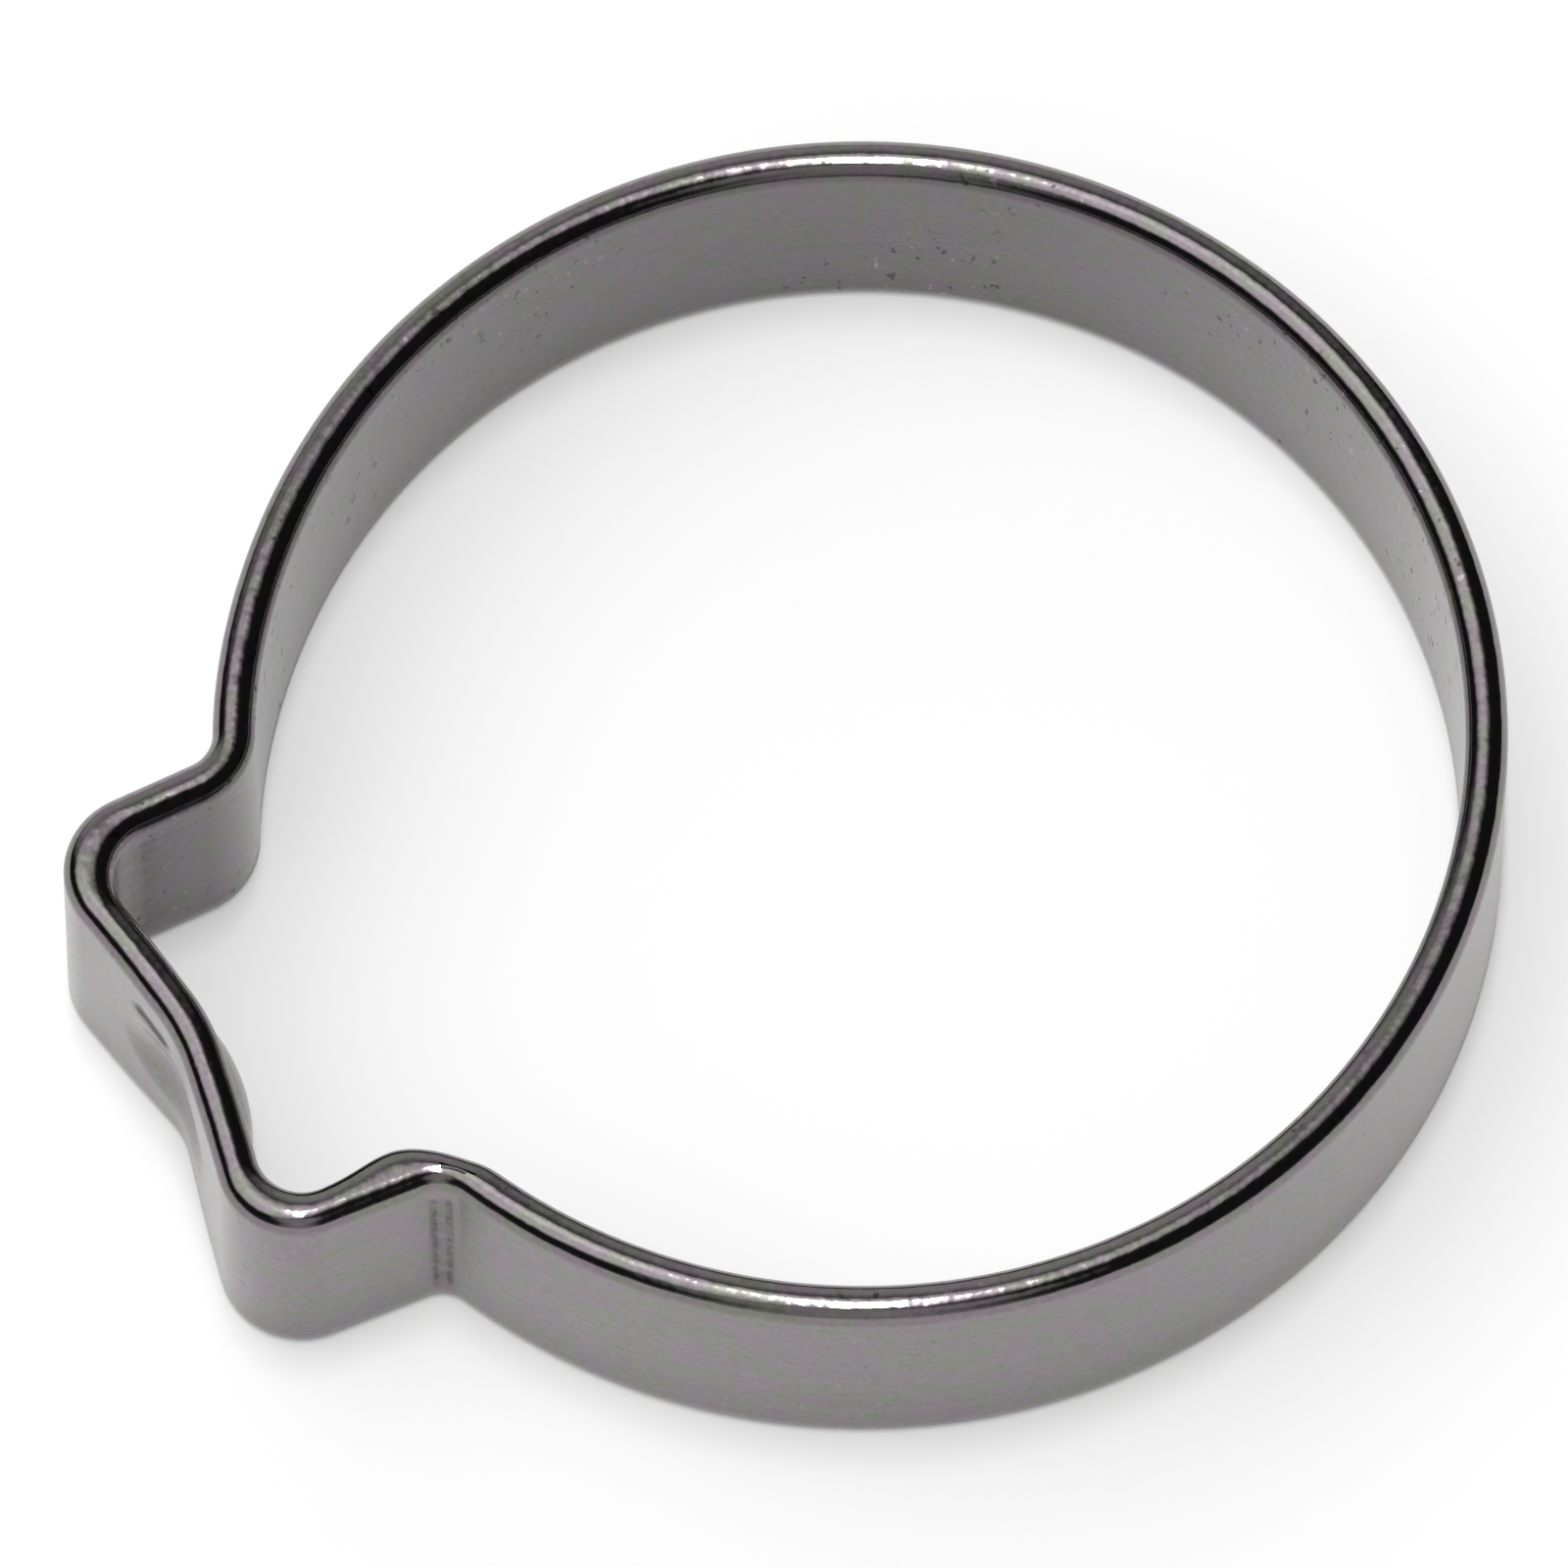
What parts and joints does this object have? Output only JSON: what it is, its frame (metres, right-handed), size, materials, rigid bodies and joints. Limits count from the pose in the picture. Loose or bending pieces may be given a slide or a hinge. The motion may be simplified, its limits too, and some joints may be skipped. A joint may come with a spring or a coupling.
{
  "type": "ear hose clamp",
  "caption": "Closed flat-steel band with one hollow ear that is pinched to tighten it round a hose; the ear has a dimpled, notched crown.",
  "frame": {"origin": "on the axis of the hose bore, halfway along the width of the band", "axes": "+Z along the hose bore, +X out through the middle of the ear"},
  "size_m": [0.0335, 0.03, 0.007],
  "materials": {
    "bare_steel": "dull rolled steel with bright tumbled edges"
  },
  "bodies": {
    "root": {"clamp_band": "bare_steel"}
  },
  "joints": []
}
